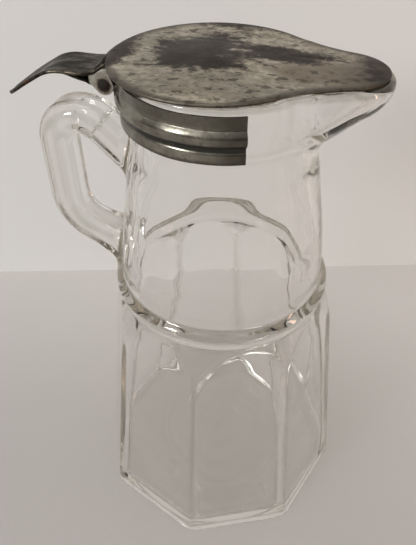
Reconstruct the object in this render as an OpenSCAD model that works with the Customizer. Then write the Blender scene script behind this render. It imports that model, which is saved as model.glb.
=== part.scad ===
// Moulded glass pitcher for oil or syrup: an eight-sided base, a ring, a round neck
// and a pouring lip, with a sprung sheet-metal collar and a hinged thumb-lever lid.
// Millimetres. The origin is the centre of the base, on the table. The spout points
// along +X, the handle along -X, and +Z is up.

/* [Glass base] */
// Distance from the axis to a flat panel, at the table
panel_r = 38; // [36:0.5:41]
// Lean of the flat panels, in degrees
panel_lean = 6.75; // [5:0.25:8]
// Height at which the round shoulder starts to cut the panel corners
shoulder_z = 68; // [62:1:69]
// Thickness of the glass floor
floor_t = 3.6; // [3:0.2:8]
// Thickness of the glass wall
wall_t = 3.1; // [2.5:0.1:3.6]

/* [Glass neck] */
// Height of the ring between the base and the neck
ring_z = 80.8; // [80:0.2:82]
// Outer radius of the ring
ring_r = 29.3; // [28.8:0.1:30]
// Height of the glass rim
rim_z = 138.5; // [138:0.1:139]
// Outer radius of the thickened lip that the collar grips
lip_r = 22.7; // [22.2:0.1:23.2]

/* [Spout] */
// Distance from the axis to the tip of the glass spout
spout_x = 35.4; // [35.4:0.1:36]
// Rise of the underside of the spout, in degrees
spout_rise = 40; // [36:1:44]

/* [Handle] */
// Width of the handle, across the grip
handle_w = 10.5; // [9:0.5:12]
// Thickness of the handle
handle_t = 8.5; // [7:0.5:9]
// Bevel along the handle's four long edges
handle_bevel = 2.3; // [1:0.1:3]

/* [Collar] */
// Angle between the spout and each end of the collar
collar_gap = 68; // [60:1:75]
// Lower edge of the collar
collar_low_z = 127.2; // [127:0.1:128.5]
// Upper edge of the collar
collar_top_z = 137.2; // [136.8:0.1:137.6]
// Thickness of the collar's sheet
sheet_t = 0.5; // [0.4:0.05:0.6]

/* [Lid and lever] */
// Radius of the round part of the lid
lid_r = 23.2; // [22.8:0.1:23.8]
// Thickness of the lid
lid_t = 0.7; // [0.5:0.1:1]
// Height of the shallow crown in the middle of the lid
crown_h = 0.7; // [0.3:0.1:1.2]
// Width of the thumb lever
lever_w = 12; // [10:0.5:13]
// Thickness of the thumb lever
lever_t = 0.8; // [0.6:0.1:1]

/* [Hinge] */
// Radius of the hinge pin
pin_r = 1; // [0.8:0.05:1.1]
// Width over the two ears of the hinge bracket
ears_w = 10; // [9:0.5:10.5]
// Thickness of the bracket's sheet
ear_t = 0.7; // [0.5:0.1:0.8]

/* [Hidden] */
$fn = 96;

panels = 8;
big = 200;                      // longer than anything that it cuts
corner_r = panel_r / cos(180 / panels) - 0.3;       // the corners are just broken
corner_slope = tan(panel_lean) / cos(180 / panels);
base_bevel = 1.2;
hollow_round = 8;               // round between the floor of the hollow and its wall
corner_soft = 0.8;              // how far the hollow stops short of its own sharp corners

// The round shoulder that runs in over the tops of the flat panels
shoulder_low = [31.1, 71.5];
shoulder_mid = [29.7, 75.5];
shoulder_top = [28.5, 78.6];

// The ring's round section, and where the neck and the shoulder leave it
ring_round = 2.8;
ring_top_z = ring_z + 2.6;
neck_low_r = 27.4;
neck_mid = [25, 103.4];
neck_high = [22.9, 115.5];
neck_top = [21.6, 125.5];
lip_low_z = 128;
lip_round = 0.9;
lip_in_r = lip_r - wall_t;

// Middle of the lid's round part, and the round nose of its outline
lid_x = -2.35;
nose_r = 10.1;
nose_x = 24.1;
flank_r = 40;                   // hollow curve between the round part and the nose
glass_proud = spout_x - nose_x - nose_r;            // the spout shows round the lid's nose
spout_wall = 2.6;
spout_round = 16;               // radius of the spout's trough
spout_root = [21.7, 123];       // lowest point of the spout, on the neck
spout_back_x = 8;               // the trough starts inside the neck wall
channel_r = 8.8;                // half of the width of the pouring channel

// The handle's middle line: a straight arm, a tight bend, a straight grip,
// an easy bend and a straight arm back to the ring
top_bend = [-35.4, 116.2];
top_bend_r = 7.05;
arm_slope = 45;
low_bend = [-31.6, 100];
low_bend_r = low_bend[0] - top_bend[0] + top_bend_r;
low_arm_slope = 28;
upper_arm_l = 13;
lower_arm_l = 12.5;

// Collar section
collar_in_r = lip_r + 0.2;
flange_in_r = lip_r + 0.05;
groove_in_r = lip_r - 0.02;     // the groove grips the lip
bead_z = 132.5;
bead_h = 3.4;
bead_out = 0.6;
bead_round = (bead_h * bead_h / 4 + bead_out * bead_out) / (2 * bead_out);
bead_r = collar_in_r + sheet_t + bead_out;
groove_z = [129.9, 130.9];

// Hinge
pin_x = -26.4;
pin_z = 132.9;
bore_r = pin_r + 0.05;          // the pin turns in the leaf
knuckle_r = bore_r + 0.7;
knuckle_w = ears_w - 2 * ear_t - 0.4;       // a little side play between the ears
leaf_w = 7.6;
leaf_z = [128.5, 136];
leaf_in_r = bead_r - 0.03;      // soldered to the crest of the bead
pin_head_r = 1.4;
pin_head_t = 0.5;
ear_round = 2.3;
lid_z = rim_z + 0.1;

// Top edge of the lever's sheet, from under the lid to the thumb tip. The flat of
// the lever lies a little under the lid
lever_flat_drop = 3.1;
lever_top = [
    [-23.3, lid_z], [-24.6, lid_z - 0.1], [-26.5, lid_z - 1.4], [-28.5, lid_z - 2.6],
    [-31, lid_z - lever_flat_drop], [-37.5, lid_z - lever_flat_drop], [-40.5, lid_z - 3.8], [-43.5, lid_z - 5.4],
    [-47, lid_z - 7.5], [-52.4, lid_z - 11]
];
lever_neck_w = 8.4;
lever_tip_round = lever_w / 2 + 0.5;

// Bracket under the lever: the back edge of the ears, and the tail that joins them
ear_back = [-29.8, 133.2];
ear_low = [-28.7, 131.5];
tail_bend = [-30.4, 133.4];
tail_end = [-36.5, lid_z - lever_flat_drop - lever_t];
tail_w = 8;

function shift(points, down) = [for (p = points) [p[0], p[1] - down]];
function reversed(points) = [for (i = [len(points) - 1 : -1 : 0]) points[i]];

// Sheet that hangs below a line in the XZ plane, centred on Y
module sheet_along(line, t, w) {
    rotate([90, 0, 0])
        linear_extrude(w, center = true)
            polygon(concat(line, reversed(shift(line, t))));
}

// Outline seen from above: a disc drawn out into a round nose by two hollow flanks
module lid_outline(grow = 0) {
    span = nose_x - lid_x;
    disc_r = lid_r + grow;
    tip_r = nose_r + grow;
    hollow_r = flank_r - grow;
    to_disc = disc_r + hollow_r;
    to_tip = tip_r + hollow_r;
    fx = (to_disc * to_disc - to_tip * to_tip + span * span) / (2 * span);
    fy = sqrt(to_disc * to_disc - fx * fx);
    disc_touch = [lid_x + fx * disc_r / to_disc, fy * disc_r / to_disc];
    tip_touch = [nose_x + (fx - span) * tip_r / to_tip, fy * tip_r / to_tip];
    translate([lid_x, 0]) circle(disc_r);
    translate([nose_x, 0]) circle(tip_r);
    difference() {
        polygon([
            [lid_x, 0], disc_touch, tip_touch,
            [tip_touch[0], -tip_touch[1]], [disc_touch[0], -disc_touch[1]]
        ]);
        for (side = [-1, 1])
            translate([lid_x + fx, side * fy]) circle(hollow_r);
    }
}

// Outer section of the base, ring, neck and lip
module outer_section() {
    polygon([
        [0, 0], [corner_r - base_bevel, 0], [corner_r - base_bevel * corner_slope, base_bevel],
        [corner_r - shoulder_z * corner_slope, shoulder_z],
        shoulder_low, shoulder_mid, shoulder_top, [neck_low_r - 0.4, ring_z],
        [neck_low_r, ring_top_z], neck_mid, neck_high, neck_top,
        [lip_r, lip_low_z], [lip_r, rim_z - lip_round], [lip_r - lip_round, rim_z], [0, rim_z]
    ]);
    translate([ring_r - ring_round, ring_z]) circle(ring_round);
}

// Distance from the axis to a corner of the hollow, at a height
function corner_in_r(z) = (panel_r - z * tan(panel_lean) - wall_t) / cos(180 / panels) - corner_soft;

// Section through the corners of the hollow inside, which runs out through the mouth
module inner_section() {
    round_z = floor_t + hollow_round;
    top = rim_z + 1;
    low_in_r = corner_in_r(round_z);
    polygon([
        [0, floor_t], [low_in_r - hollow_round, floor_t], [low_in_r, round_z],
        [corner_in_r(shoulder_z), shoulder_z], [shoulder_low[0] - wall_t, shoulder_low[1]],
        [shoulder_mid[0] - wall_t, shoulder_mid[1]], [neck_low_r - wall_t, ring_top_z],
        [neck_mid[0] - wall_t, neck_mid[1]], [neck_high[0] - wall_t, neck_high[1]],
        [neck_top[0] - wall_t + 0.3, neck_top[1]], [lip_in_r, lip_low_z + 1],
        [lip_in_r, rim_z - lip_round], [lip_in_r + lip_round, rim_z], [lip_in_r + lip_round, top], [0, top]
    ]);
    translate([low_in_r - hollow_round, round_z]) circle(hollow_round);
}

// Eight leaning cutters leave flat panels, with round tops where the shoulder runs in
module panel_cutters(inset, top) {
    for (i = [0 : panels - 1])
        rotate([0, 0, (i + 0.5) * 360 / panels])
            translate([panel_r - inset, 0, 0])
                rotate([0, -panel_lean, 0])
                    translate([0, -big / 2, -big / 10]) cube([big / 2, big, top + big / 10]);
}

// The hollow inside, which follows the panels one wall behind them
module hollow() {
    difference() {
        rotate_extrude() inner_section();
        panel_cutters(wall_t, ring_top_z + 2);
    }
}

// A round trough that climbs out of the neck
module spout_trough(r) {
    translate([spout_root[0], 0, spout_root[1]])
        rotate([0, 90 - spout_rise, 0])
            translate([-spout_round, 0, -8]) cylinder(h = 60, r = r);
}

// The spout's outside, cut to an outline that shows all round the lid's nose
module spout_outside() {
    low_z = spout_root[1] - 5;
    intersection() {
        translate([0, 0, low_z]) linear_extrude(rim_z - low_z) lid_outline(glass_proud);
        spout_trough(spout_round);
        translate([spout_back_x, -big / 2, 0]) cube([big, big, big]);
    }
}

// The channel in the spout, open at the top and into the neck
module spout_channel() {
    intersection() {
        translate([0, 0, spout_root[1]])
            linear_extrude(30) {
                translate([nose_x, 0]) circle(channel_r);
                translate([0, -channel_r]) square([nose_x, 2 * channel_r]);
            }
        spout_trough(spout_round - spout_wall);
    }
}

// Flat-sided grip section: X is the thickness, Y the width
module grip_section() {
    t = handle_t / 2;
    w = handle_w / 2;
    b = handle_bevel;
    polygon([[t, b - w], [t, w - b], [t - b, w], [b - t, w], [-t, w - b], [-t, b - w], [b - t, -w], [t - b, -w]]);
}

// A bend of the grip in the XZ plane, from one angle to another
module grip_bend(centre, r, from, to) {
    translate([centre[0], 0, centre[1]])
        rotate([90, 0, 0])
            rotate([0, 0, from])
                rotate_extrude(angle = to - from) translate([r, 0]) grip_section();
}

// A straight length of the grip in the XZ plane, which leaves a point at an angle
module grip_run(start, angle, length) {
    translate([start[0], 0, start[1]])
        rotate([0, 90 - angle, 0])
            linear_extrude(length) grip_section();
}

module handle() {
    top_start = [top_bend[0] + top_bend_r * cos(arm_slope), top_bend[1] + top_bend_r * sin(arm_slope)];
    low_end_angle = 270 - low_arm_slope;
    low_end = [
        low_bend[0] + low_bend_r * cos(low_end_angle),
        low_bend[1] + low_bend_r * sin(low_end_angle)
    ];
    grip_run(top_start, -arm_slope, upper_arm_l);
    grip_bend(top_bend, top_bend_r, arm_slope, 180);
    grip_run([low_bend[0] - low_bend_r, low_bend[1]], 90, top_bend[1] - low_bend[1]);
    grip_bend(low_bend, low_bend_r, 180, low_end_angle);
    grip_run(low_end, -low_arm_slope, lower_arm_l);
}

module glass_body() {
    color([0.86, 0.88, 0.87, 0.45])
        difference() {
            union() {
                difference() {
                    rotate_extrude() outer_section();
                    panel_cutters(0, ring_z - 2.7);
                }
                spout_outside();
                handle();
            }
            hollow();
            spout_channel();
        }
}

// Section of the collar: flat band, bead, groove and lower flange
module collar_section() {
    translate([collar_in_r, bead_z + bead_h / 2 - 0.2])
        square([sheet_t, collar_top_z - bead_z - bead_h / 2 + 0.2]);
    intersection() {
        translate([bead_r - bead_round, bead_z])
            difference() {
                circle(bead_round);
                circle(bead_round - sheet_t);
            }
        translate([collar_in_r - 0.01, bead_z - bead_h / 2]) square([2 * sheet_t + bead_out, bead_h]);
    }
    translate([groove_in_r, groove_z[0]]) square([sheet_t, groove_z[1] - groove_z[0]]);
    translate([flange_in_r, collar_low_z]) square([sheet_t, groove_z[0] - collar_low_z]);
}

module collar_band() {
    color([0.45, 0.44, 0.4])
        rotate([0, 0, collar_gap])
            rotate_extrude(angle = 360 - 2 * collar_gap) collar_section();
}

// Leaf soldered to the back of the collar, curled round the pin
module hinge_leaf() {
    leaf_turn = 2 * asin(leaf_w / 2 / leaf_in_r);
    color([0.42, 0.4, 0.36])
        difference() {
            union() {
                rotate([0, 0, 180 - leaf_turn / 2])
                    rotate_extrude(angle = leaf_turn)
                        translate([leaf_in_r, leaf_z[0]]) square([sheet_t, leaf_z[1] - leaf_z[0]]);
                translate([pin_x, 0, pin_z])
                    rotate([90, 0, 0]) cylinder(h = knuckle_w, r = knuckle_r, center = true);
                translate([pin_x, -leaf_w / 2, pin_z - knuckle_r])
                    cube([-leaf_in_r - sheet_t / 4 - pin_x, leaf_w, knuckle_r - bore_r]);
            }
            translate([pin_x, 0, pin_z])
                rotate([90, 0, 0]) cylinder(h = big, r = bore_r, center = true);
        }
}

// Rivet through both ears, headed at each end
module hinge_pin() {
    color([0.3, 0.2, 0.14])
        translate([pin_x, 0, pin_z])
            rotate([90, 0, 0]) {
                cylinder(h = ears_w, r = pin_r, center = true);
                for (side = [-1, 1])
                    translate([0, 0, side * (ears_w + pin_head_t) / 2])
                        cylinder(h = pin_head_t, r = pin_head_r, center = true);
            }
}

// Side view of one ear, from the lever down round the pin
module ear_outline() {
    under = lid_z - lever_t;
    translate([pin_x, pin_z]) circle(ear_round);
    polygon([
        ear_back, [ear_back[0], under - 2.9], [-28.5, under - 2.6], [-26.5, under - 1.4],
        [pin_x + ear_round, pin_z], [pin_x, pin_z - ear_round], ear_low
    ]);
}

// Two ears under the lever, joined by a tail that runs back to the lever
module hinge_bracket() {
    color([0.5, 0.48, 0.42])
        difference() {
            union() {
                for (side = [-1, 1])
                    translate([0, side * (ears_w - ear_t) / 2, 0])
                        rotate([90, 0, 0]) linear_extrude(ear_t, center = true) ear_outline();
                sheet_along([[tail_bend[0] + 1.8, tail_bend[1] - 0.1], tail_bend], ear_t, ears_w);
                sheet_along([tail_bend, tail_end], ear_t, tail_w);
            }
            translate([pin_x, 0, pin_z])
                rotate([90, 0, 0]) cylinder(h = big, r = pin_r, center = true);
        }
}

// Thumb lever: a strap that leaves the lid, steps down and bends to a round tip
module thumb_lever() {
    neck_x = lever_top[1][0];
    wide_x = lever_top[4][0];
    tip_x = lever_top[len(lever_top) - 1][0];
    color([0.36, 0.33, 0.3])
        intersection() {
            sheet_along(lever_top, lever_t, 2 * lever_w);
            linear_extrude(big)
                polygon([
                    [0, -lever_neck_w / 2], [neck_x, -lever_neck_w / 2], [wide_x, -lever_w / 2],
                    [tip_x - 1, -lever_w / 2], [tip_x - 1, lever_w / 2],
                    [wide_x, lever_w / 2], [neck_x, lever_neck_w / 2], [0, lever_neck_w / 2]
                ]);
            union() {
                translate([tip_x + lever_tip_round, 0, 0]) cylinder(h = big, r = lever_tip_round);
                translate([tip_x + lever_tip_round, -big / 2, 0]) cube(big);
            }
        }
}

// Flat lid with a shallow crown
module lid_plate() {
    crown_r = 15;
    ball_r = (crown_r * crown_r + crown_h * crown_h) / (2 * crown_h);
    color([0.42, 0.38, 0.34]) {
        translate([0, 0, lid_z]) linear_extrude(lid_t) lid_outline();
        translate([lid_x, 0, lid_z + lid_t / 2])
            rotate_extrude()
                intersection() {
                    translate([0, lid_t / 2 + crown_h - ball_r]) circle(ball_r, $fn = 1440);
                    square([crown_r + 1, lid_t + crown_h]);
                }
    }
}

glass_body();
collar_band();
hinge_leaf();
hinge_pin();
hinge_bracket();
thumb_lever();
lid_plate();
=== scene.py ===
import math

import bmesh
import bpy
import numpy as np
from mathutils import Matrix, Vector


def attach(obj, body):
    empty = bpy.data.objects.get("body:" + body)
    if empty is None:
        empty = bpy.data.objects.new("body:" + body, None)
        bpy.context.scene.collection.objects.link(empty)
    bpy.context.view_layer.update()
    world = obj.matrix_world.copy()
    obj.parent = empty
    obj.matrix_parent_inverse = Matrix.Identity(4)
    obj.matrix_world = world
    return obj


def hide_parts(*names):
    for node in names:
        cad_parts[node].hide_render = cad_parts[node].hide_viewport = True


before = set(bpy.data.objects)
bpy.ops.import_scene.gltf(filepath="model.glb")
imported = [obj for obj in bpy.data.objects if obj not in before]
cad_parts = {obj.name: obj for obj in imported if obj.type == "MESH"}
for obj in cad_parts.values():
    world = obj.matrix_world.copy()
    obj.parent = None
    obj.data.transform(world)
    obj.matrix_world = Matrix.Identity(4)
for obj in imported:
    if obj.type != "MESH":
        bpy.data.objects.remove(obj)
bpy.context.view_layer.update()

# ---------------------------------------------------------------- sizes, in millimetres
MM = 0.001
PANELS = 8
PANEL_R = 38.0                      # axis to a flat panel, at the table
PANEL_LEAN = math.radians(6.75)
CORNER_SOFT = 0.45                  # softening of the moulded edges
FLOOR_T = 2.4
FLOOR_DOME, FLOOR_DOME_R = 0.5, 24.0
SWIRL_H, SWIRL_STEP, SWIRL_R = 0.17, 1.1, 27.0     # faint rings in the floor of the hollow
UNDER_DISH, UNDER_DISH_R = 0.5, 30.0               # the underside is a little hollow inside its rim
DISH_EASE = 8.0                     # how wide a strip the dish and the rings fade over
WALL_T = 2.9
RIM_Z = 138.5
RING_R, RING_Z, RING_ROUND = 26.5, 80.8, 2.8
WAVE_H = 0.045                      # slow waves all over the moulded glass

# Radii up the glass: (height, radius). They are smoothed before use.
SHOULDER = [(20, 40.5), (45, 36.4), (68, 32.4), (71.5, 31.1), (75.5, 29.7), (78.6, 28.5), (81, 27),
            (87, 21)]
NECK = [(58, 18), (70, 23.5), (78, 26.8), (83.4, 27.4), (92, 26.7), (98.8, 25.8), (103.4, 25),
        (115.5, 22.9), (120, 22), (125.6, 21.6), (126.8, 21.6), (127.9, 22.7), (150, 22.7)]
HOLLOW = [(0, 44), (40, 34.4), (55, 30.8), (62, 29.1), (69, 27), (75.5, 25.7), (83.4, 24.3),
          (92, 23.6), (98.8, 22.7), (103.4, 21.9), (115.5, 19.8), (125.5, 18.8), (130, 19.5),
          (136.6, 19.6), (139.5, 21.2)]
SHOULDER_SOFT, NECK_SOFT, HOLLOW_SOFT = 1.2, 0.7, 1.0

# How softly the parts of the glass meet
CUT_SOFT, FOOT_ROUND, RIM_ROUND, BRIM_ROUND = 1.0, 0.7, 1.3, 1.4
NECK_JOIN, RING_JOIN, LIMB_JOIN = 0.8, 0.9, 2.6
SPOUT_EDGE, SPOUT_SOFT = 2.2, 2.0
CAVITY_CORNER, CAVITY_SOFT, FLOOR_SOFT = 2.4, 2.0, 4.0
# Where each part ends inside the next one
BASE_TOP, NECK_FOOT = 84.0, 60.0
SPOUT_START, CHANNEL_START = 9.0, 14.0

# Lid outline: a disc, a round nose and two hollow flanks
LID_X, LID_R = -2.35, 23.2
NOSE_X, NOSE_R = 24.1, 10.1
FLANK_R = 40.0
GLASS_PROUD = 1.2
SPOUT_ROOT = (21.7, 123.0)
SPOUT_RISE = math.radians(40)
SPOUT_ROUND = 16.0
SPOUT_WALL = 2.6

# Handle: centre line in the XZ plane and half sizes of its flat-sided section
TOP_BEND, TOP_BEND_R = (-35.4, 116.2), 7.05
LOW_BEND, LOW_BEND_R = (-31.6, 100.0), 10.85
ARM_SLOPE, LOW_ARM_SLOPE = math.radians(45), math.radians(28)
UPPER_ARM, LOWER_ARM = 13.0, 12.5
GRIP_T, GRIP_W = 4.25, 5.25
BEVEL_OUT, BEVEL_IN = 2.5, 2.1
SIDE_SOFT, BEVEL_SOFT = 0.6, 0.7
# Its lower root swells as it runs into the neck
ROOT_X, ROOT_Z = -36.0, 97.0
ROOT_EASE_X, ROOT_EASE_Z = 9.0, 7.0
ROOT_SWELL_T, ROOT_SWELL_W = 1.0, 0.5

LID_Z = 138.6
LID_T = 0.7
CROWN_H, CROWN_R = 0.62, 17.0
# Heights on the collar: its foot, the groove below the bead and the top of the bead
COLLAR_FOOT_Z, GROOVE_Z, BEAD_TOP_Z = 127.3, 130.7, 134.5
PIN_X, PIN_Z = -26.4, 132.9


# ---------------------------------------------------------------- fields for the glass
FAR_AWAY = 1e3                      # stands for no distance at all


def smin(a, b, k):
    """The smaller of two distances, blended where they are less than k apart."""
    h = np.clip(0.5 + 0.5 * (b - a) / k, 0, 1)
    return b + (a - b) * h - k * h * (1 - h)


def smax(a, b, k):
    """The larger of two distances, blended in the same way."""
    return -smin(-a, -b, k)


def smooth_step(t):
    """0 below 0, 1 above 1 and an S-shaped rise between them."""
    t = np.clip(t, 0, 1)
    return t * t * (3 - 2 * t)


class Profile:
    """A radius that changes with height, smoothed, as a distance from its surface."""

    STEP = 0.1
    PAD, REACH = 4, 3.5             # in widths of the softening

    def __init__(self, points, soft):
        z, r = np.array(points, float).T
        pad = self.PAD * soft
        self.z = np.arange(z[0] - pad, z[-1] + pad, self.STEP)
        raw = np.interp(self.z, z, r)
        reach = int(self.REACH * soft / self.STEP)
        bell = np.exp(-0.5 * (np.arange(-reach, reach + 1) * self.STEP / soft) ** 2)
        padded = np.pad(raw, reach, mode="edge")
        self.r = np.convolve(padded, bell / bell.sum(), mode="valid")
        slope = np.gradient(self.r, self.STEP)
        self.lean = 1 / np.sqrt(1 + slope**2)

    def distance(self, r, z):
        return (r - np.interp(z, self.z, self.r)) * np.interp(z, self.z, self.lean)


shoulder = Profile(SHOULDER, SHOULDER_SOFT)
neck = Profile(NECK, NECK_SOFT)
hollow = Profile(HOLLOW, HOLLOW_SOFT)


def flank_geometry(grow):
    """The grown radii, and the centre of the flank's arc, which touches the disc and the nose."""
    disc, nose, flank = LID_R + grow, NOSE_R + grow, FLANK_R - grow
    span = NOSE_X - LID_X
    to_disc, to_nose = disc + flank, nose + flank
    fx = (to_disc**2 - to_nose**2 + span**2) / (2 * span)
    fy = math.sqrt(to_disc**2 - fx**2)
    return disc, nose, flank, LID_X + fx, fy


def outline_distance(x, y, grow):
    """Distance from the outline of the lid, grown by an amount."""
    disc, nose, flank, cx, cy = flank_geometry(grow)
    side = np.abs(y)
    rounds = np.minimum(np.hypot(x - LID_X, side) - disc, np.hypot(x - NOSE_X, side) - nose)
    low = math.atan2(-cy, LID_X - cx)
    high = math.atan2(-cy, NOSE_X - cx)
    turn = np.arctan2(side - cy, x - cx)
    between = (turn > low) & (turn < high)
    return np.where(between, flank - np.hypot(x - cx, side - cy), rounds)


def trough_distance(x, y, z, r):
    """Distance from a round trough that climbs out of the neck at the spout's rise."""
    c, s = math.cos(SPOUT_RISE), math.sin(SPOUT_RISE)
    dx, dz = x - SPOUT_ROOT[0], z - SPOUT_ROOT[1]
    across = -dx * s + dz * c - SPOUT_ROUND
    return np.hypot(across, y) - r


def to_segment(x, z, a, b, flip=1):
    """Distance from a segment in the XZ plane, and the signed offset to its outer side."""
    dx, dz = b[0] - a[0], b[1] - a[1]
    length = math.hypot(dx, dz)
    t = np.clip(((x - a[0]) * dx + (z - a[1]) * dz) / length**2, 0, 1)
    away = np.hypot(x - a[0] - t * dx, z - a[1] - t * dz)
    side = ((x - a[0]) * dz - (z - a[1]) * dx) / length * flip
    return away, side


def to_bend(x, z, centre, r, start, end):
    """Distance from an arc in the XZ plane, and the signed offset to its outer side."""
    turn = np.mod(np.arctan2(z - centre[1], x - centre[0]), 2 * math.pi)
    off = np.hypot(x - centre[0], z - centre[1]) - r
    inside = (turn >= start) & (turn <= end)
    return np.where(inside, np.abs(off), FAR_AWAY), off


def step_from(point, angle, length):
    """The point that lies a length away at an angle."""
    return point[0] + length * math.cos(angle), point[1] + length * math.sin(angle)


def handle_distance(x, y, z):
    """Distance from the handle: two arms, two bends and a straight grip."""
    low_end = math.radians(270) - LOW_ARM_SLOPE
    top = step_from(TOP_BEND, ARM_SLOPE, TOP_BEND_R)
    top_far = step_from(top, -ARM_SLOPE, UPPER_ARM)
    low = step_from(LOW_BEND, low_end, LOW_BEND_R)
    low_far = step_from(low, -LOW_ARM_SLOPE, LOWER_ARM)
    grip_x = TOP_BEND[0] - TOP_BEND_R
    runs = [
        to_segment(x, z, top_far, top, -1),
        to_bend(x, z, TOP_BEND, TOP_BEND_R, ARM_SLOPE, math.pi),
        to_segment(x, z, (grip_x, TOP_BEND[1]), (grip_x, LOW_BEND[1])),
        to_bend(x, z, LOW_BEND, LOW_BEND_R, math.pi, low_end),
        to_segment(x, z, low, low_far),
    ]
    away, side = runs[0]
    for other, other_side in runs[1:]:
        side = np.where(other < away, other_side, side)
        away = np.minimum(away, other)
    swell = smooth_step((x - ROOT_X) / ROOT_EASE_X) * smooth_step((ROOT_Z - z) / ROOT_EASE_Z)
    half_t = GRIP_T + ROOT_SWELL_T * swell
    half_w = GRIP_W + ROOT_SWELL_W * swell
    bevel = np.where(side > 0, BEVEL_OUT, BEVEL_IN)
    across = np.abs(y)
    flats = smax(away - half_t, across - half_w, SIDE_SOFT)
    corner = (away + across - (half_t + half_w - bevel)) / math.sqrt(2)
    return smax(flats, corner, BEVEL_SOFT)


def panel_distance(x, y, z, inset, soft):
    """Distance from the eight leaning panels, moved in by an amount."""
    lean_c, lean_s = math.cos(PANEL_LEAN), math.sin(PANEL_LEAN)
    sides = None
    for i in range(PANELS):
        turn = (i + 0.5) * 2 * math.pi / PANELS
        out = x * math.cos(turn) + y * math.sin(turn)
        plane = (out - PANEL_R) * lean_c + z * lean_s + inset
        sides = plane if sides is None else smax(sides, plane, soft)
    return sides


def outside_distance(x, y, z, r):
    """Distance from the pitcher as if it were solid glass."""
    base = smax(panel_distance(x, y, z, 0, CORNER_SOFT), shoulder.distance(r, z), CORNER_SOFT)
    under = UNDER_DISH * smooth_step((UNDER_DISH_R - r) / DISH_EASE) - z
    base = smax(smax(base, under, FOOT_ROUND), z - BASE_TOP, CUT_SOFT)
    tube = smax(smax(neck.distance(r, z), z - RIM_Z, RIM_ROUND), NECK_FOOT - z, CUT_SOFT)
    solid = smin(base, tube, NECK_JOIN)
    solid = smin(solid, np.hypot(r - RING_R, z - RING_Z) - RING_ROUND, RING_JOIN)
    trough = trough_distance(x, y, z, SPOUT_ROUND)
    spout = smax(outline_distance(x, y, GLASS_PROUD), trough, SPOUT_EDGE)
    spout = smax(smax(spout, z - RIM_Z, RIM_ROUND), SPOUT_START - x, SPOUT_SOFT)
    solid = smin(solid, spout, LIMB_JOIN)
    return smin(solid, handle_distance(x, y, z), LIMB_JOIN)


def inside_distance(x, y, z, r):
    """Distance from the hollow and the channel that leads from it along the spout."""
    cavity = smax(panel_distance(x, y, z, WALL_T, CAVITY_CORNER), hollow.distance(r, z), CAVITY_SOFT)
    dome = FLOOR_DOME * smooth_step(1 - r / FLOOR_DOME_R)
    rings = SWIRL_H * np.cos(r / SWIRL_STEP) * smooth_step((SWIRL_R - r) / DISH_EASE)
    cavity = smax(cavity, FLOOR_T - z + (dome + rings), FLOOR_SOFT)
    trough = trough_distance(x, y, z, SPOUT_ROUND - SPOUT_WALL)
    channel = smax(outline_distance(x, y, GLASS_PROUD - SPOUT_WALL), trough, SPOUT_SOFT)
    channel = smax(channel, CHANNEL_START - x, SPOUT_SOFT)
    return smin(cavity, channel, CAVITY_SOFT)


def glass_field(x, y, z):
    """Signed distance to the glass, roughly, in millimetres: negative inside it."""
    r = np.hypot(x, y)
    solid = smax(outside_distance(x, y, z, r), -inside_distance(x, y, z, r), BRIM_ROUND)
    ripple = np.sin(0.23 * x + 0.11 * z + 1.3) * np.sin(0.19 * y - 0.07 * z + 0.4)
    return solid + WAVE_H * ripple * smooth_step(z / 4)


def surface_net(field, origin, pitch):
    """A closed mesh of quads on the zero level of a grid of numbers."""
    inside = field < 0
    cells = np.array(field.shape) - 1
    size = int(cells.prod())
    total = np.zeros((size, 3))
    count = np.zeros(size)
    corners = []
    for axis in range(3):
        b, c = (axis + 1) % 3, (axis + 2) % 3
        low = [slice(None)] * 3
        high = [slice(None)] * 3
        low[axis], high[axis] = slice(0, -1), slice(1, None)
        low, high = tuple(low), tuple(high)
        at = np.argwhere(inside[low] != inside[high])
        ends = at.copy()
        ends[:, axis] += 1
        f0, f1 = field[tuple(at.T)], field[tuple(ends.T)]
        point = at.astype(float)
        point[:, axis] += f0 / (f0 - f1)
        # Each grid edge that the surface crosses gives a quad between the four cells round it
        around = []
        for db, dc in ((0, 0), (-1, 0), (-1, -1), (0, -1)):
            cell = at.copy()
            cell[:, b] += db
            cell[:, c] += dc
            flat = np.ravel_multi_index(tuple(cell.T), tuple(cells))
            around.append(flat)
            count += np.bincount(flat, minlength=size)
            for k in range(3):
                total[:, k] += np.bincount(flat, weights=point[:, k], minlength=size)
        quad = np.stack(around, 1)
        quad[f0 >= 0] = quad[f0 >= 0][:, ::-1]
        corners.append(quad)
    # A cell's point is the mean of its crossings
    used = np.flatnonzero(count)
    number = np.full(size, -1)
    number[used] = np.arange(len(used))
    places = total[used] / count[used, None] * pitch + origin
    return places, number[np.concatenate(corners)]


# The grid that the glass is meshed on, in millimetres, a little off the flat faces
GRID_LOW, GRID_HIGH = (-48.5, -42.6, -2.0), (42.6, 42.6, 140.6)
GRID_SHIFT = 0.013
# Its points are then pulled on to the surface, in steps of part of a cell
PULLS, PULL_STEP, PULL_MOST = 4, 0.12, 0.35
LEAST_SLOPE = 0.05
NORMAL_STEP = 0.2
EDGE_STEP, EDGE_CRISP, EDGE_FLAT = 0.45, 0.9, 0.12


def nudges(h):
    """A small step along each axis in turn."""
    return np.eye(3) * h


def gradient(field, p, h):
    """How fast the field changes along each axis."""
    g = np.empty_like(p)
    for k, step in enumerate(nudges(h)):
        g[:, k] = (field(*(p + step).T) - field(*(p - step).T)) / (2 * h)
    return g


def edge_strength(points):
    """How sharply the surface turns at each point: 0 on a flat, 1 on a crisp edge."""
    turn = -6 * glass_field(*points.T)
    for step in nudges(EDGE_STEP):
        turn = turn + glass_field(*(points + step).T) + glass_field(*(points - step).T)
    return np.clip(np.abs(turn) / EDGE_STEP**2 / EDGE_CRISP - EDGE_FLAT, 0, 1)


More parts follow.
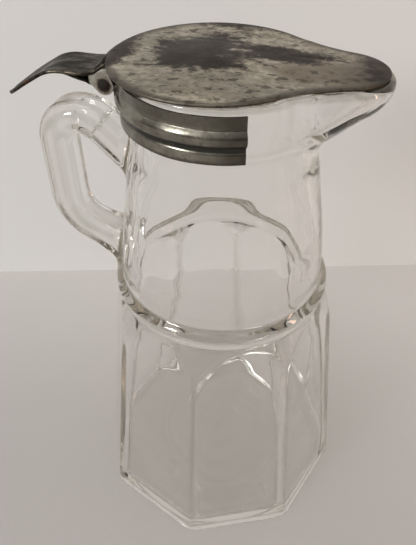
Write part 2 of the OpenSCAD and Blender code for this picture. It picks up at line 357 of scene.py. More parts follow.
def glass_mesh(pitch):
    """Points, quads, normals and edge strengths of the glass, from a grid of the field."""
    axes = [np.arange(GRID_LOW[k] + GRID_SHIFT * (k + 1), GRID_HIGH[k] + pitch, pitch) for k in range(3)]
    x, y, z = axes[0][:, None, None], axes[1][None, :, None], axes[2][None, None, :]
    field = glass_field(x, y, z)
    points, quads = surface_net(field, np.array([a[0] for a in axes]), pitch)
    for _ in range(PULLS):
        g = gradient(glass_field, points, PULL_STEP)
        move = glass_field(*points.T)[:, None] * g / np.maximum((g**2).sum(1), LEAST_SLOPE)[:, None]
        points -= np.clip(move, -PULL_MOST * pitch, PULL_MOST * pitch)
    g = gradient(glass_field, points, NORMAL_STEP)
    normals = g / np.linalg.norm(g, axis=1)[:, None]
    return points, quads, normals, edge_strength(points)


# ---------------------------------------------------------------- meshes
# Edges that turn by more than these angles stay crisp
EDGE_SHARP, SHEET_SHARP = math.radians(40), math.radians(60)


def new_piece(name, mesh, material, body):
    """A smooth-shaded piece that rides on a body."""
    mesh.polygons.foreach_set("use_smooth", [True] * len(mesh.polygons))
    mesh.materials.append(material)
    piece = bpy.data.objects.new(name, mesh)
    bpy.context.scene.collection.objects.link(piece)
    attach(piece, body)
    return piece


def new_object(name, points, faces, material, body):
    """A piece from points in millimetres."""
    mesh = bpy.data.meshes.new(name)
    mesh.from_pydata((np.asarray(points, float) * MM).tolist(), [], [list(map(int, f)) for f in faces])
    mesh.update()
    return new_piece(name, mesh, material, body)


def mark(piece, name, values):
    """Keeps one number for each point of a piece, for its material to read."""
    piece.data.attributes.new(name, "FLOAT", "POINT").data.foreach_set("value", values)


def loft(rings):
    """Closed rings of equal length, joined by quads and capped at both ends."""
    rings = np.asarray(rings, float)
    m, n, _ = rings.shape
    faces = []
    for i in range(m - 1):
        for j in range(n):
            k = (j + 1) % n
            faces.append([i * n + j, i * n + k, (i + 1) * n + k, (i + 1) * n + j])
    faces.append(list(range(n))[::-1])
    faces.append([(m - 1) * n + j for j in range(n)])
    return rings.reshape(-1, 3), faces


def tidy_normals(piece, sharp_angle=EDGE_SHARP):
    """Turns the faces outwards and keeps edges sharper than an angle crisp."""
    bm = bmesh.new()
    bm.from_mesh(piece.data)
    bmesh.ops.recalc_face_normals(bm, faces=bm.faces)
    for edge in bm.edges:
        edge.smooth = len(edge.link_faces) == 2 and edge.calc_face_angle(0) < sharp_angle
    bm.to_mesh(piece.data)
    bm.free()


def evenly(path, count, endpoint=True):
    """Points spaced evenly along a path."""
    run = np.concatenate([[0], np.cumsum(np.linalg.norm(np.diff(path, axis=0), axis=1))])
    at = np.linspace(0, run[-1], count, endpoint=endpoint)
    return np.stack([np.interp(at, run, path[:, k]) for k in range(path.shape[1])], 1)


def arc_points(x, y, r, start, end, count):
    """Points along an arc about a centre."""
    return [(x + r * math.cos(t), y + r * math.sin(t)) for t in np.linspace(start, end, count)]


def curve_through(points, count, fine=24):
    """A smooth curve through points, evenly spaced along its length."""
    p = np.array(points, float)
    p = np.vstack([2 * p[0] - p[1], p, 2 * p[-1] - p[-2]])
    out = []
    for i in range(1, len(p) - 2):
        t = np.linspace(0, 1, fine, endpoint=False)[:, None]
        a, b, c, d = p[i - 1 : i + 3]
        out.append(0.5 * (2 * b + (c - a) * t + (2 * a - 5 * b + 4 * c - d) * t**2
                          + (3 * b - a - 3 * c + d) * t**3))
    return evenly(np.vstack(out + [p[-2:-1]]), count)


def line_normals(path):
    """The direction square to a flat path at each of its points."""
    along = np.gradient(path, axis=0)
    along /= np.linalg.norm(along, axis=1)[:, None]
    return np.stack([-along[:, 1], along[:, 0]], 1)


def rounded_strip(path, half_width, thickness, camber=0.0, across=14):
    """A bent strap: a path of its upper face in the XZ plane, with rounded edges."""
    normals = line_normals(path)
    normals *= np.sign(normals[:, 1:2] + 1e-9)
    edge = np.linspace(-math.pi / 2, math.pi / 2, 7)
    h = thickness / 2
    rings = []
    for (px, pz), (nx, nz), w in zip(path, normals, half_width):
        reach = max(w - h, 0.02)
        flat = np.linspace(-1, 1, across) * reach
        ring = [(v, h) for v in flat]
        ring += [(reach + h * math.cos(a), h * math.sin(a)) for a in edge[::-1][1:-1]]
        ring += [(v, -h) for v in flat[::-1]]
        ring += [(-reach - h * math.cos(a), h * math.sin(a)) for a in edge[1:-1]]
        row = []
        for y, out in ring:
            out += camber * (y / max(w, 0.5)) ** 2 - h
            row.append((px + nx * out, y, pz + nz * out))
        rings.append(row)
    return loft(rings)


def prism(name, outline, y_low, y_high, bevel, material, body):
    """A flat plate in the XZ plane with softened edges."""
    bm = bmesh.new()
    ring = [bm.verts.new((x * MM, y_low * MM, z * MM)) for x, z in outline]
    face = bm.faces.new(ring)
    grown = bmesh.ops.extrude_face_region(bm, geom=[face])
    moved = [v for v in grown["geom"] if isinstance(v, bmesh.types.BMVert)]
    bmesh.ops.translate(bm, verts=moved, vec=(0, (y_high - y_low) * MM, 0))
    bmesh.ops.recalc_face_normals(bm, faces=bm.faces)
    rims = [e for e in bm.edges if e.calc_face_angle(0) > math.radians(50)]
    bmesh.ops.bevel(bm, geom=rims, offset=bevel * MM, segments=3, profile=0.6, affect="EDGES")
    mesh = bpy.data.meshes.new(name)
    bm.to_mesh(mesh)
    bm.free()
    return new_piece(name, mesh, material, body)


# ---------------------------------------------------------------- materials
# Colours, red green blue, linear
# EDGE_SHADE is painted shade for the glass's mould lines and corners
CLEAR, EDGE_SHADE = (1.0, 1.0, 1.0), (0.46, 0.465, 0.385)
GLASS_TINT, GLASS_DENSITY = (0.86, 0.84, 0.78), 25
GLASS_SHADE = (0.935, 0.932, 0.925)
TIN_DARK, TIN_PALE, TIN_DULL = (0.25, 0.222, 0.17), (0.56, 0.515, 0.42), (0.20, 0.182, 0.145)
BROWN_STAIN, NOSE_STAIN, BLACK_STAIN_AND_SHADE = (0.115, 0.078, 0.048), (0.065, 0.053, 0.038), (0.028, 0.021, 0.015)
RIM_SHADE, SPECK_DARK = (0.05, 0.042, 0.033), (0.045, 0.034, 0.024)
LEVER_DARK, LEVER_PALE, LEVER_CLOUD = (0.014, 0.011, 0.008), (0.13, 0.112, 0.085), (0.018, 0.015, 0.011)
RUST_BRIGHT, RUST_DARK = (0.24, 0.11, 0.045), (0.09, 0.045, 0.028)
COLLAR_DARK, COLLAR_PALE, COLLAR_FLECK = (0.17, 0.158, 0.128), (0.33, 0.315, 0.265), (0.11, 0.10, 0.082)
COLLAR_END_SHADE, COLLAR_FOOT_SHADE = (0.055, 0.05, 0.038), (0.07, 0.064, 0.052)
COLLAR_BROW_SHADE, COLLAR_WORN, GRIME_AND_SHADE = (0.10, 0.093, 0.075), (0.12, 0.108, 0.09), (0.05, 0.048, 0.043)
EAR_DARK, EAR_PALE, EAR_BROWN = (0.30, 0.29, 0.25), (0.46, 0.44, 0.385), (0.17, 0.14, 0.10)
PIN_STAIN = (0.055, 0.030, 0.018)
IRON_DARK, IRON_BROWN = (0.004, 0.003, 0.003), (0.022, 0.013, 0.009)
FLOOR_NEAR_SHADE, FLOOR_FAR = (0.37, 0.353, 0.343), (0.505, 0.487, 0.475)
WALL_LEFT, WALL_RIGHT = (0.72, 0.725, 0.725), (0.75, 0.755, 0.755)

# Dark stains on the lid, and painted shade at its back edge, in millimetres: x, y, half length,
# half width, tilt in radians, then the range over which each comes in, and its strength
STAINS_AND_SHADE = [
    (-6.0, 2.8, 16.5, 16, 0.1, -0.05, 0.7, 1.0),    # a broad patch in the middle
    (12.5, 4.8, 18, 7, 0.0, 0.0, 0.75, 0.9),        # a streak towards the nose
    (-27, 2.0, 10, 18, 0.0, 0.0, 0.6, 0.9),         # painted shade at the back edge, where the lid meets the lever
    (0, 25, 32, 9, 0.0, 0.0, 0.7, 0.72),            # the far edge
    (35, 2, 13, 13, 0.0, 0.0, 0.7, 0.7),            # the nose
]


class Look:
    """A material built from nodes."""

    def __init__(self, name):
        self.material = bpy.data.materials.new(name)
        self.material.use_nodes = True
        self.tree = self.material.node_tree
        self.shader = self.tree.nodes["Principled BSDF"]
        self.end = self.tree.nodes["Material Output"]
        self.place = self.node("TexCoord").outputs["Object"]

    def node(self, kind):
        return self.tree.nodes.new("ShaderNode" + kind)

    def put(self, socket, value):
        if isinstance(value, bpy.types.NodeSocket):
            self.tree.links.new(value, socket)
        else:
            socket.default_value = value

    def set(self, **values):
        """Sets or links the shader's inputs, named with _ for a space."""
        for key, value in values.items():
            self.put(self.shader.inputs[key.replace("_", " ")], value)

    def stretched(self, scale, turn=0.0, place=None):
        node = self.node("Mapping")
        node.inputs["Scale"].default_value = scale
        node.inputs["Rotation"].default_value = (0, 0, turn)
        self.tree.links.new(place or self.place, node.inputs["Vector"])
        return node.outputs["Vector"]

    def noise(self, scale, detail=4.0, rough=0.55, distort=0.0, place=None):
        node = self.node("TexNoise")
        node.inputs["Scale"].default_value = scale
        node.inputs["Detail"].default_value = detail
        node.inputs["Roughness"].default_value = rough
        node.inputs["Distortion"].default_value = distort
        self.tree.links.new(place or self.place, node.inputs["Vector"])
        return node.outputs["Fac"]

    def range(self, value, low, high, out_low=0.0, out_high=1.0):
        node = self.node("MapRange")
        node.interpolation_type = "SMOOTHSTEP"
        self.put(node.inputs["Value"], value)
        names = ("From Min", "From Max", "To Min", "To Max")
        for name, number in zip(names, (low, high, out_low, out_high)):
            node.inputs[name].default_value = number
        return node.outputs["Result"]

    def math(self, kind, a, b=0.0):
        node = self.node("Math")
        node.operation = kind
        self.put(node.inputs[0], a)
        self.put(node.inputs[1], b)
        return node.outputs[0]

    def add(self, a, b):
        return self.math("ADD", a, b)

    def sway(self, noise, amount):
        """A noise that swings to either side of 0, by half an amount at most."""
        return self.math("MULTIPLY", self.math("SUBTRACT", noise, 0.5), amount)

    def mix(self, share, a, b):
        node = self.node("Mix")
        node.data_type = "RGBA"
        self.put(node.inputs["Factor"], share)
        for socket, value in ((node.inputs[6], a), (node.inputs[7], b)):
            self.put(socket, (*value, 1) if isinstance(value, tuple) else value)
        return node.outputs[2]

    def split(self):
        node = self.node("SeparateXYZ")
        self.tree.links.new(self.place, node.inputs[0])
        return node.outputs

    def vector(self, kind, place, by=(0, 0, 0)):
        node = self.node("VectorMath")
        node.operation = kind
        self.tree.links.new(place, node.inputs[0])
        node.inputs[1].default_value = by
        return node.outputs["Value" if kind in ("LENGTH", "DISTANCE") else "Vector"]

    def from_spot(self, x, y, rx, ry, tilt=0.0):
        """1 at a spot on the XY plane, 0 at the edge of its ellipse; millimetres."""
        gap = self.vector("SUBTRACT", self.place, (x * MM, y * MM, 0))
        turned = self.stretched((1, 1, 0), -tilt, gap)
        shrunk = self.vector("MULTIPLY", turned, (1 / (rx * MM), 1 / (ry * MM), 0))
        return self.math("SUBTRACT", 1.0, self.vector("LENGTH", shrunk))

    def marked(self, name):
        """A number kept at each point of the mesh."""
        node = self.node("Attribute")
        node.attribute_name = name
        return node.outputs["Fac"]

    def bump(self, height, strength, distance):
        node = self.node("Bump")
        node.inputs["Strength"].default_value = strength
        node.inputs["Distance"].default_value = distance
        self.put(node.inputs["Height"], height)
        self.tree.links.new(node.outputs[0], self.shader.inputs["Normal"])

    def give_way(self, share, other):
        """Swaps a share of the surface for another shader."""
        either = self.node("MixShader")
        self.tree.links.new(share, either.inputs[0])
        self.tree.links.new(self.shader.outputs[0], either.inputs[1])
        self.tree.links.new(other.outputs[0], either.inputs[2])
        self.tree.links.new(either.outputs[0], self.end.inputs["Surface"])


def clear_glass():
    look = Look("clear_glass")
    smears = look.range(look.noise(70, 6, 0.6, 0.4), 0.5, 0.75, 0.0, 0.05)
    # Painted shade: mould lines and corners are coloured darker and greener than the flats, for the dark
    # room that the glass's rounded edges bend in
    colour = look.mix(look.math("MULTIPLY", look.marked("edge"), 0.9), CLEAR, EDGE_SHADE)
    look.set(Base_Color=colour, IOR=1.5, Transmission_Weight=1.0, Roughness=smears)
    look.bump(look.noise(90, 2, 0.4), 0.12, 0.0004)
    tint = look.node("VolumeAbsorption")
    tint.inputs["Color"].default_value = (*GLASS_TINT, 1)
    tint.inputs["Density"].default_value = GLASS_DENSITY
    look.tree.links.new(tint.outputs[0], look.end.inputs["Volume"])
    # Lamps and soft light reach what stands behind the glass
    path = look.node("LightPath")
    open_to = look.math("MAXIMUM", path.outputs["Is Shadow Ray"], path.outputs["Is Diffuse Ray"])
    clear = look.node("BsdfTransparent")
    clear.inputs["Color"].default_value = (*GLASS_SHADE, 1)
    look.give_way(open_to, clear)
    return look.material


def lid_metal():
    look = Look("lid_metal")
    grain = look.stretched((0.8, 1.1, 1.0), math.radians(-8))
    cloud = look.noise(110, 6, 0.62, 0.6, grain)
    coarse = look.noise(38, 4, 0.55, 0.3)
    fine = look.noise(620, 5, 0.7, 0.0, grain)
    speck = look.noise(430, 3, 0.6, 0.2, grain)
    rough_edge = look.sway(cloud, 1.3)
    stains_and_shade = 0.0
    for x, y, length, width, tilt, low, high, strength in STAINS_AND_SHADE:
        spot = look.add(look.from_spot(x, y, length, width, tilt), rough_edge)
        stains_and_shade = look.math("MAXIMUM", stains_and_shade, look.range(spot, low, high, 0, strength))
    dapple = look.sway(look.noise(420, 6, 0.8, 0.5, grain), 2.6)
    stains_and_shade = look.range(look.add(stains_and_shade, dapple), 0.0, 1.05)
    # Bare tin, then brown towards the spout, the dark nose, the stains (with painted shade at the back
    # edge), painted shade along the rim, and the specks
    colour = look.mix(look.range(fine, 0.35, 0.68), TIN_DARK, TIN_PALE)
    colour = look.mix(look.range(coarse, 0.38, 0.66, 0, 0.6), colour, TIN_DULL)
    brown_place = look.range(look.add(look.from_spot(21, -3, 17, 14, 0.5), rough_edge), 0.2, 0.75)
    brown = look.math("MULTIPLY", brown_place, look.range(fine, 0.4, 0.62, 0.35, 0.9))
    colour = look.mix(brown, colour, BROWN_STAIN)
    nose = look.range(look.from_spot(34, 0, 13, 16), 0.0, 0.7, 0, 0.8)
    colour = look.mix(nose, colour, NOSE_STAIN)
    # Black for the stains, and for the painted shade at the back edge
    colour = look.mix(look.range(stains_and_shade, 0.02, 0.85), colour, BLACK_STAIN_AND_SHADE)
    # Painted shade: a dark band along the lid's edge, where the rolled edge falls into shade
    rim_shade = look.add(look.marked("rim"), look.sway(cloud, 3.0))
    colour = look.mix(look.range(rim_shade, 0.4, 2.4, 0.8, 0.0), colour, RIM_SHADE)
    colour = look.mix(look.range(speck, 0.56, 0.64, 0, 0.8), colour, SPECK_DARK)
    look.set(Base_Color=colour, Metallic=0.88, Specular_IOR_Level=0.3,
             Roughness=look.range(cloud, 0.3, 0.75, 0.36, 0.56))
    look.bump(look.add(fine, look.math("MULTIPLY", cloud, 2.0)), 0.35, 0.00012)
    return look.material


def lever_metal():
    look = Look("lever_metal")
    grain = look.stretched((0.6, 1.3, 1.0))
    cloud = look.noise(150, 6, 0.65, 0.8, grain)
    fine = look.noise(700, 4, 0.7, 0.0, grain)
    colour = look.mix(look.range(fine, 0.35, 0.7), LEVER_DARK, LEVER_PALE)
    colour = look.mix(look.range(cloud, 0.42, 0.56), colour, LEVER_CLOUD)
    # Rust along the two edges of the grip
    edge = look.add(look.math("ABSOLUTE", look.split()["Y"]), look.sway(cloud, 0.008))
    rust = look.mix(look.range(fine, 0.4, 0.6), RUST_BRIGHT, RUST_DARK)
    colour = look.mix(look.range(edge, 0.0058, 0.0076, 0, 0.7), colour, rust)
    look.set(Base_Color=colour, Metallic=0.9, Specular_IOR_Level=0.25,
             Roughness=look.range(cloud, 0.3, 0.7, 0.34, 0.6))
    look.bump(look.add(fine, cloud), 0.3, 0.00012)
    return look.material


def collar_metal():
    look = Look("collar_metal")
    place = look.split()
    x, z = place["X"], place["Z"]
    cloud = look.noise(95, 6, 0.65, 0.7)
    fine = look.noise(520, 4, 0.65)
    worn = look.noise(240, 4, 0.6, 0.5)
    colour = look.mix(look.range(cloud, 0.35, 0.68), COLLAR_DARK, COLLAR_PALE)
    colour = look.mix(look.range(fine, 0.5, 0.72, 0, 0.6), colour, COLLAR_FLECK)
    # Painted shade: darker towards the ends by the spout, for the dark room that the collar reflects
    # there
    ends = look.add(x, look.sway(worn, 0.006))
    colour = look.mix(look.range(ends, 0.0005, 0.007, 0, 0.75), colour, COLLAR_END_SHADE)
    # Painted shade: darker at the foot, where the collar meets the glass
    foot = look.add(z, look.sway(worn, 0.0016))
    foot = look.range(foot, COLLAR_FOOT_Z * MM, (COLLAR_FOOT_Z + 0.8) * MM, 0.8, 0)
    colour = look.mix(foot, colour, COLLAR_FOOT_SHADE)
    # Painted shade: the band above the bead is darker than the bead
    brow = look.add(z, look.sway(cloud, 0.003))
    brow = look.range(brow, BEAD_TOP_Z * MM, (BEAD_TOP_Z + 0.7) * MM, 0, 0.55)
    colour = look.mix(brow, colour, COLLAR_BROW_SHADE)
    # Grime in the groove and painted shade on the underside of the bead, rubbed off here and there
    groove = look.math("ABSOLUTE", look.math("SUBTRACT", z, GROOVE_Z * MM))
    rubbed = look.range(worn, 0.5, 0.75, 0, 0.4)
    grime_and_shade = look.math("SUBTRACT", look.range(groove, 0.0006, 0.0013, 1.0, 0.0), rubbed)
    colour = look.mix(grime_and_shade, colour, GRIME_AND_SHADE)
    colour = look.mix(look.range(worn, 0.64, 0.7, 0, 0.75), colour, COLLAR_WORN)
    look.set(Base_Color=colour, Metallic=0.92, Roughness=look.range(cloud, 0.3, 0.7, 0.15, 0.3))
    look.bump(look.add(look.math("MULTIPLY", fine, 0.5), cloud), 0.3, 0.00012)
    return look.material


def bracket_metal():
    look = Look("bracket_metal")
    fine = look.noise(600, 5, 0.7)
    cloud = look.noise(260, 5, 0.6, 0.5)
    colour = look.mix(look.range(fine, 0.35, 0.65), EAR_DARK, EAR_PALE)
    colour = look.mix(look.range(cloud, 0.5, 0.68), colour, EAR_BROWN)
    # Rust that has spread from the rivet
    beside = look.vector("MULTIPLY", look.place, (1, 0, 1))
    from_pin = look.vector("DISTANCE", beside, (PIN_X * MM, 0, PIN_Z * MM))
    ring = look.add(from_pin, look.sway(cloud, 0.0022))
    colour = look.mix(look.range(ring, 0.0014, 0.0021, 0.95, 0.0), colour, PIN_STAIN)
    look.set(Base_Color=colour, Metallic=0.6, Roughness=look.range(fine, 0.3, 0.7, 0.4, 0.62))
    look.bump(look.add(fine, cloud), 0.4, 0.00015)
    return look.material


def rusted_iron():
    look = Look("rusted_iron")
    fine = look.noise(900, 5, 0.7)
    colour = look.mix(look.range(fine, 0.35, 0.65), IRON_DARK, IRON_BROWN)
    look.set(Base_Color=colour, Metallic=0.2, Roughness=look.range(fine, 0.3, 0.7, 0.7, 0.95))
    look.bump(fine, 0.6, 0.0002)
    return look.material


def plain_paper(name, near, far):
    """Pale paper, whose colour changes with distance from the front, seen only from its front; on the
    floor this paints shade towards the front.
    """
    look = Look(name)
    depth = look.add(look.split()["Y"], look.sway(look.noise(5, 3, 0.5), 0.03))
    fine = look.noise(900, 2, 0.5)
    look.set(Base_Color=look.mix(look.range(depth, -0.05, 0.09), near, far),
             Roughness=look.range(fine, 0.3, 0.7, 0.75, 0.9))
    look.bump(fine, 0.05, 0.0002)
    look.give_way(look.node("NewGeometry").outputs["Backfacing"], look.node("BsdfTransparent"))
    return look.material


glass = clear_glass()
lid_look = lid_metal()
lever_look = lever_metal()
collar_look = collar_metal()
bracket_look = bracket_metal()
rust_look = rusted_iron()

# ---------------------------------------------------------------- the glass
GLASS_PITCH = 0.7
points, quads, normals, edges = glass_mesh(GLASS_PITCH)
pitcher = new_object("glass_pitcher", points, quads, glass, "pitcher")
pitcher.data.normals_split_custom_set_from_vertices(normals.tolist())
mark(pitcher, "edge", edges)
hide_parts("glass_body")

# ---------------------------------------------------------------- the collar
COLLAR_END = math.radians(68)       # from the spout to each end of the collar
SHEET_T = 0.5
COLLAR_INNER_R = 22.72              # just outside the lip
COLLAR_BAND = (128, 136)            # the wavy edges are below and above these heights
COLLAR_POINTS, COLLAR_STEPS = 70, 260
# The middle of the sheet: (radius, height)
COLLAR_LINE = [(23.25, 127.25), (23.2, 129.2), (22.98, 129.75), (22.93, 130.4), (23.0, 130.85),
               (23.55, 131.25), (23.93, 131.9), (24.03, 132.6), (23.9, 133.35), (23.5, 134.0),
               (23.22, 134.35), (23.16, 135), (23.15, 136.2), (23.15, 137.15)]


def collar_rings():
    """The sheet's section, repeated round the lip."""
    line = curve_through(COLLAR_LINE, COLLAR_POINTS)
    away = line_normals(line)
    away *= np.where(away[:, :1] > 0, 1, -1)
    inner = line - away * SHEET_T / 2
    outer = line + away * SHEET_T / 2
    inner[:, 0] = np.maximum(inner[:, 0], COLLAR_INNER_R)
    section = np.vstack([outer, inner[::-1]])
    low, high = COLLAR_BAND
    rings = []
    for turn in np.linspace(COLLAR_END, 2 * math.pi - COLLAR_END, COLLAR_STEPS):
        wobble = 0.05 * math.sin(5 * turn + 0.7) + 0.03 * math.sin(11 * turn)
        c, s = math.cos(turn), math.sin(turn)
        rings.append([(r * c, r * s, z + wobble * (z < low or z > high)) for r, z in section])
    return rings


collar = new_object("collar_sheet", *loft(collar_rings()), collar_look, "pitcher")
tidy_normals(collar)
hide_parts("collar_band")
# The hinge leaf keeps its own shape and takes the collar's metal
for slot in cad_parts["hinge_leaf"].material_slots:
    slot.material = collar_look

# ---------------------------------------------------------------- the lid
LID_POINTS, LID_ARC_POINTS = 320, 200
LID_MIDDLE = (1.0, 0.0)             # where the rings of the lid's faces close
RINGS_ABOVE, RINGS_ROUND, RINGS_BELOW = 44, 9, 20
RING_EASE = 0.9
# A shallow crease that runs towards the nose
CREASE_H, CREASE_W = 0.16, 0.8
CREASE_X, CREASE_Y, CREASE_LEAN = 20, 4.3, 0.05
CREASE_FROM, CREASE_TO = 12, 28
DENT_H = 0.05


def lid_outline():
    """Points round the lid, evenly spaced, starting at the tip."""
    disc, nose, flank, cx, cy = flank_geometry(0)
    low = math.atan2(cy, cx - LID_X)
    high = math.atan2(cy, cx - NOSE_X)
    half = arc_points(NOSE_X, 0, nose, 0, high, LID_ARC_POINTS)
    half += arc_points(cx, cy, flank, high - math.pi, low - math.pi, LID_ARC_POINTS)
    half += arc_points(LID_X, 0, disc, low, math.pi, LID_ARC_POINTS)
    half = np.array(half)
    return evenly(np.vstack([half, half[::-1] * [1, -1]]), LID_POINTS, endpoint=False)


def lid_height(x, y):
    """How far the lid's sheet rises over its flat edge."""
    near = np.clip(1 - ((x - LID_X) ** 2 + y**2) / CROWN_R**2, 0, 1)
    dish = CROWN_H * near**2
    across = (y - CREASE_Y + CREASE_LEAN * (x - CREASE_X)) / CREASE_W
    crease = CREASE_H * np.exp(-(across**2)) * smooth_step((x - CREASE_FROM) / 6)
    crease = crease * smooth_step((CREASE_TO - x) / 3)
    dents = DENT_H * np.sin(0.31 * x + 0.6) * np.sin(0.27 * y + 1.1)
    return dish - crease + np.maximum(dents, -0.04) * near


def lid_rows():
    """Rings over the lid's upper face, round its edge and under its lower face."""
    edge = lid_outline()
    along = np.roll(edge, -1, 0) - np.roll(edge, 1, 0)
    out = np.stack([along[:, 1], -along[:, 0]], 1)
    out /= np.linalg.norm(out, axis=1)[:, None]
    half = LID_T / 2
    inner = edge - out * half
    centre = np.array(LID_MIDDLE)
    rows = []
    for s in np.linspace(0.02, 1, RINGS_ABOVE) ** RING_EASE:
        p = centre + (inner - centre) * s
        rows.append(np.column_stack([p, LID_Z + LID_T + lid_height(p[:, 0], p[:, 1])]))
    for a in np.linspace(math.pi / 2, -math.pi / 2, RINGS_ROUND)[1:]:
        p = inner + out * half * math.cos(a)
        rows.append(np.column_stack([p, np.full(len(p), LID_Z + half + half * math.sin(a))]))
    for s in np.linspace(1, 0.02, RINGS_BELOW)[1:] ** RING_EASE:
        p = centre + (inner - centre) * s
        rows.append(np.column_stack([p, LID_Z + 0.6 * np.maximum(lid_height(p[:, 0], p[:, 1]), 0)]))
    return rows


lid = new_object("lid_sheet", *loft(lid_rows()), lid_look, "lid")
tidy_normals(lid, SHEET_SHARP)
from_rim = [-outline_distance(v.co.x / MM, v.co.y / MM, 0) for v in lid.data.vertices]
mark(lid, "rim", from_rim)
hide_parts("lid_plate")

# ---------------------------------------------------------------- the thumb lever
# The lever's upper face, from the lid to the thumb tip: (x, height over the lid's underside)
LEVER_TOP = [(-23.3, 0), (-24.6, -0.1), (-26.5, -1.4), (-28.5, -2.6), (-31, -3.1), (-34, -3.1),
             (-37.5, -3.1), (-40.5, -3.8), (-43.5, -5.4), (-47, -7.5), (-52.4, -11)]
LEVER_T = 0.8
LEVER_NECK_W, LEVER_GRIP_W = 4.2, 6.0
LEVER_TIP, LEVER_TIP_R = -52.4, 6.5
SOLDER_T = 0.9


def widening(path, narrow, extra, start, length):
    """Half widths along a path that change by an amount over a length, towards -X."""
    return [narrow + extra * float(smooth_step((start - x) / length)) for x, _ in path]


def round_tip(path, widths):
    """Half widths narrowed to a round tip."""
    from_tip = [min(x - (LEVER_TIP + LEVER_TIP_R), 0) for x, _ in path]
    return [min(w, math.sqrt(max(LEVER_TIP_R**2 - t**2, 0.01))) for w, t in zip(widths, from_tip)]


lever_path = curve_through([(x, LID_Z + z) for x, z in LEVER_TOP], 130)
lever_path = lever_path[lever_path[:, 0] >= LEVER_TIP + 0.02]
lever_widths = widening(lever_path, LEVER_NECK_W, LEVER_GRIP_W - LEVER_NECK_W, -24.6, 6.4)
lever_strip = rounded_strip(lever_path, round_tip(lever_path, lever_widths), LEVER_T, 0.15)
lever = new_object("lever_sheet", *lever_strip, lever_look, "lid")
tidy_normals(lever, SHEET_SHARP)
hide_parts("thumb_lever")

# Solder that fills the step from the lid's edge down on to the lever
solder_path = curve_through([(-23.9, LID_Z + LID_T), (-25.2, LID_Z + LID_T - 0.02), (-26.3, LID_Z + 0.1),
                             (-27.6, LID_Z - 1.3), (-29, LID_Z - 2.5)], 26)
solder_strip = rounded_strip(solder_path, widening(solder_path, 4.1, 0.35, -24, 4), SOLDER_T, -0.25)
solder = new_object("lever_solder", *solder_strip, lever_look, "lid")
tidy_normals(solder, SHEET_SHARP)

# ---------------------------------------------------------------- hinge bracket and pin
EARS_W, EAR_T = 10.0, 0.7
EAR_ROUND, EAR_BEVEL = 2.3, 0.14
RIVET_SIDES = 40


def ear_outline():
    """An ear's upper edge, just inside the lever, and its round foot about the pin."""
    under = LID_Z - LEVER_T
    foot = arc_points(PIN_X, PIN_Z, EAR_ROUND, 0, math.radians(-128), 14)
    return [(-29.8, 133.2), (-29.8, under - 2.9), (-28.5, under - 2.6), (-26.5, under - 1.4),
            (-25.4, under - 1.3)] + foot


for name, side in (("near", -1), ("far", 1)):
    low, high = sorted((side * EARS_W / 2, side * (EARS_W / 2 - EAR_T)))
    ear = prism("ear_" + name, ear_outline(), low, high, EAR_BEVEL, bracket_look, "lid")
    if side < 0:
        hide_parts("hinge_bracket")

# Painted shade: the tail is the same sheet as the pale ears, but takes the lever's darker metal for the
# shadow it lies in under the lever
tail_path = curve_through([(-28.7, 133.35), (-30.4, 133.3), (-33, 133.75),
                           (-36.5, LID_Z - 3.1 - LEVER_T + 0.1)], 30)
tail_strip = rounded_strip(tail_path, widening(tail_path, 4.9, -0.9, -29.5, 2), EAR_T)
tail = new_object("bracket_tail", *tail_strip, lever_look, "lid")
tidy_normals(tail, SHEET_SHARP)


def rivet_rings():
    """A pin with a lumpy round head at each end: (radius, place along the pin)."""
    half = EARS_W / 2
    profile = [(0.05, half + 0.42), (0.5, half + 0.4), (0.95, half + 0.3), (1.25, half + 0.12),
               (1.38, half - 0.02), (1.0, half - 0.03), (1.0, 0)]
    profile = profile + [(r, -y) for r, y in profile[::-1][1:]]
    rings = []
    for r, y in profile:
        on_head = abs(y) > half - 0.02
        ring = []
        for t in np.linspace(0, 2 * math.pi, RIVET_SIDES, endpoint=False):
            lump = 1 + (0.05 * math.sin(3 * t + 0.5) + 0.04 * math.sin(5 * t)) * on_head
            ring.append((PIN_X + r * lump * math.cos(t), y, PIN_Z + r * lump * math.sin(t)))
        rings.append(ring)
    return rings


rivet = new_object("hinge_rivet", *loft(rivet_rings()), rust_look, "lid")
tidy_normals(rivet)
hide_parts("hinge_pin")

# ---------------------------------------------------------------- floor, wall, light and camera
# From here on, sizes are in metres unless a comment says otherwise
WALL_TURN = math.atan2(0.0539, 0.2044)
WALL_NEAR = 0.0945                  # from the axis to the wall, along +Y
AIR_GAP = 0.0003                    # air under the glass
HALF, DEEP, TALL = 1.6, 0.75, 1.6   # the papers' half width, depth and height


def along_wall(s, out, z):
    """A point a distance along the wall, out from it and up."""
    c, n = math.cos(WALL_TURN), math.sin(WALL_TURN)
    return (s * c + out * n, WALL_NEAR + s * n - out * c, z - AIR_GAP)


def stage_sheet(name, corners, material):
    mesh = bpy.data.meshes.new(name)
    mesh.from_pydata([along_wall(*corner) for corner in corners], [], [(0, 1, 2, 3)])
    mesh.materials.append(material)
    sheet = bpy.data.objects.new(name, mesh)
    bpy.context.scene.collection.objects.link(sheet)


# The floor is painted darker towards the front, as painted shade
stage_sheet("floor", [(-HALF, 0, 0), (-HALF, DEEP, 0), (HALF, DEEP, 0), (HALF, 0, 0)],
            plain_paper("floor_paper", FLOOR_NEAR_SHADE, FLOOR_FAR))
stage_sheet("wall", [(-HALF, 0, 0), (HALF, 0, 0), (HALF, 0, TALL), (-HALF, 0, TALL)],
            plain_paper("wall_paper", WALL_LEFT, WALL_RIGHT))

LIT_POINT = Vector((0, 0, 0.08))


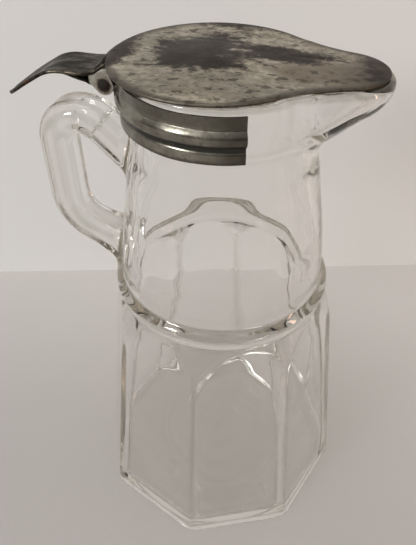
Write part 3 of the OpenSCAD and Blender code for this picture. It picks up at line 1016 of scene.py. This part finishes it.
def area_light(name, place, width, height, power, colour):
    """A soft lamp that points at the middle of the pitcher."""
    data = bpy.data.lights.new(name, "AREA")
    data.shape = "RECTANGLE"
    data.size, data.size_y = width, height
    data.energy = power
    data.color = colour
    lamp = bpy.data.objects.new(name, data)
    lamp.location = place
    aim = (LIT_POINT - Vector(place)).to_track_quat("-Z", "Y")
    lamp.rotation_euler = aim.to_euler()
    bpy.context.scene.collection.objects.link(lamp)


area_light("window", (-0.85, -1.1, 0.75), 0.28, 0.44, 10.5, (1.0, 0.985, 0.955))
area_light("ceiling", (-0.2, 0.05, 1.3), 1.3, 0.9, 10.5, (1.0, 0.99, 0.98))
area_light("warm_glint", (0.42, -0.06, 0.16), 0.03, 0.3, 0.35, (1.0, 0.66, 0.48))

ROOM_COLOUR = (1.0, 0.975, 0.94, 1)
ROOM_RAMP = {"From Min": -0.05, "From Max": 0.75, "To Min": 0.13, "To Max": 0.78}


def pale_room():
    """A world that is dark at the horizon and pale overhead, which draws the glass's edges."""
    world = bpy.data.worlds.new("room")
    world.use_nodes = True
    tree = world.node_tree
    place = tree.nodes.new("ShaderNodeTexCoord")
    part = tree.nodes.new("ShaderNodeSeparateXYZ")
    ramp = tree.nodes.new("ShaderNodeMapRange")
    tree.links.new(place.outputs["Generated"], part.inputs[0])
    tree.links.new(part.outputs["Z"], ramp.inputs["Value"])
    for name, number in ROOM_RAMP.items():
        ramp.inputs[name].default_value = number
    backdrop = tree.nodes["Background"]
    backdrop.inputs["Color"].default_value = ROOM_COLOUR
    tree.links.new(ramp.outputs["Result"], backdrop.inputs["Strength"])
    return world


bpy.context.scene.world = pale_room()
bpy.context.scene.view_settings.view_transform = "Standard"
# Light crosses many faces of the hollow glass before it leaves
cycles = bpy.context.scene.cycles
cycles.max_bounces = 32
cycles.transmission_bounces = 32
cycles.glossy_bounces = 20
cycles.transparent_max_bounces = 32
cycles.caustics_refractive = False
cycles.caustics_reflective = False

CAMERA_AT = Vector((0.0230, -0.1136, 0.1822))
CAMERA_ALONG = Vector((-0.1716, 0.7250, -0.6670))
LENS, SENSOR = 35.9, 36             # in millimetres
camera_data = bpy.data.cameras.new("camera")
camera_data.lens = LENS
camera_data.sensor_width = SENSOR
camera_data.sensor_fit = "AUTO"
camera_data.clip_start = 0.01
camera = bpy.data.objects.new("camera", camera_data)
camera.location = CAMERA_AT
camera.rotation_euler = CAMERA_ALONG.to_track_quat("-Z", "Y").to_euler()
bpy.context.scene.collection.objects.link(camera)
bpy.context.scene.camera = camera
